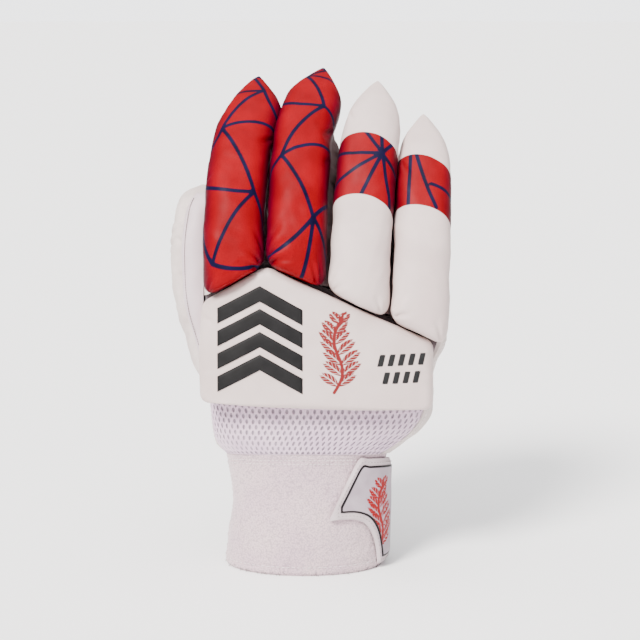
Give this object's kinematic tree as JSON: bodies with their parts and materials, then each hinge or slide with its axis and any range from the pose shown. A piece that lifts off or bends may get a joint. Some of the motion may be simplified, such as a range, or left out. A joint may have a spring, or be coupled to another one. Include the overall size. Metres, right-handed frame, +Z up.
{
  "type": "cricket batting glove",
  "caption": "Right-hand cricket batting glove standing on its towelling cuff: foam finger rolls over leather stalls, padded back panel, airmesh wrist and wrap strap.",
  "frame": {"origin": "middle of the glove's bounding box, on the floor under the foot of the cuff", "axes": "+Z up from the cuff to the finger tips, -Y is the side that the back of the hand faces, +X is towards the little finger"},
  "size_m": [0.1616, 0.0998, 0.2855],
  "materials": {
    "towelling": "rough towelling",
    "strap": "padded cloth with stitched edge",
    "label": "satin woven",
    "airmesh": "matte spacer mesh",
    "leather": "grained",
    "white_pu": "smooth coated",
    "red_pu": "smooth coated, printed"
  },
  "bodies": {
    "root": {"wristband": "towelling", "wrist_strap": "strap", "strap_label": "label", "hand_mesh": "airmesh", "palm": "leather", "back_panel": "white_pu", "index_roll": "red_pu", "index_stall": "leather", "middle_roll": "red_pu", "middle_stall": "leather", "ring_roll": "white_pu", "ring_stall": "leather", "little_roll": "white_pu", "little_stall": "leather", "thumb_stall": "leather", "thumb_guard": "white_pu"}
  },
  "joints": []
}
